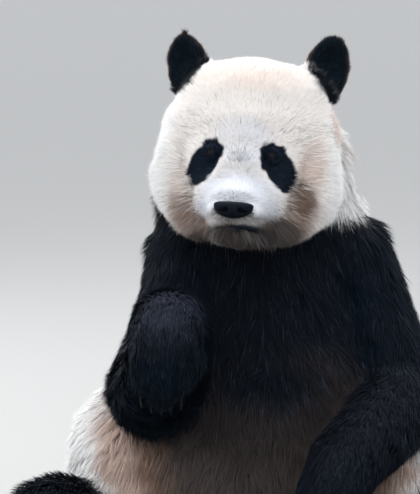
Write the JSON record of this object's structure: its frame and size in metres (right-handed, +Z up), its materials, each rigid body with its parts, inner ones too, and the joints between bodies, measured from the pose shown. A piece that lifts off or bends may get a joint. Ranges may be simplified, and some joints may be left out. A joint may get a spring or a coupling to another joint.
{
  "type": "giant panda",
  "caption": "Still, life-size giant panda seated upright on its rump, one forepaw raised and curled before the chest and the other resting in its lap.",
  "frame": {"origin": "on the floor, at a point of the flat seat under the belly, midway between the hips", "axes": "-Z out of the flat seat into the floor, +Z up along the seated animal's height, which is its longest extent; the animal faces -Y and its left side is towards +X"},
  "size_m": [0.9402, 0.8987, 0.9714],
  "materials": {
    "coat_white": "dense cream-white coat with dark eye patches, tan cheeks, a black band round chest and shoulders and a brown-stained belly",
    "coat_black": "long silky black coat with a cool sheen",
    "coat_leg": "brownish-black coat, shorter on the feet",
    "coat_ear": "short dense black coat with a reddish-brown fringe",
    "eye": "wet gloss, dark brown iris and black pupil",
    "nose_skin": "damp pebbled black leather",
    "claw": "dark horn, lightly ridged, paler at the tip"
  },
  "bodies": {
    "root": {"head": "coat_white", "neck": "coat_white", "trunk": "coat_white", "tail": "coat_white", "ear_right": "coat_ear", "ear_left": "coat_ear", "eye_right": "eye", "eye_left": "eye", "nose": "nose_skin", "upper_arm_right": "coat_black", "forearm_right": "coat_black", "forepaw_right": "coat_black", "upper_arm_left": "coat_black", "forearm_left": "coat_black", "forepaw_left": "coat_black", "thigh_right": "coat_leg", "shank_right": "coat_leg", "hind_foot_right": "coat_leg", "thigh_left": "coat_leg", "shank_left": "coat_leg", "hind_foot_left": "coat_leg", "claw_forepaw_right_1": "claw", "claw_forepaw_right_2": "claw", "claw_forepaw_right_3": "claw", "claw_forepaw_right_4": "claw", "claw_forepaw_right_5": "claw", "claw_forepaw_left_1": "claw", "claw_forepaw_left_2": "claw", "claw_forepaw_left_3": "claw", "claw_forepaw_left_4": "claw", "claw_forepaw_left_5": "claw", "claw_hind_foot_right_1": "claw", "claw_hind_foot_right_2": "claw", "claw_hind_foot_right_3": "claw", "claw_hind_foot_right_4": "claw", "claw_hind_foot_right_5": "claw", "claw_hind_foot_left_1": "claw", "claw_hind_foot_left_2": "claw", "claw_hind_foot_left_3": "claw", "claw_hind_foot_left_4": "claw", "claw_hind_foot_left_5": "claw"}
  },
  "joints": []
}
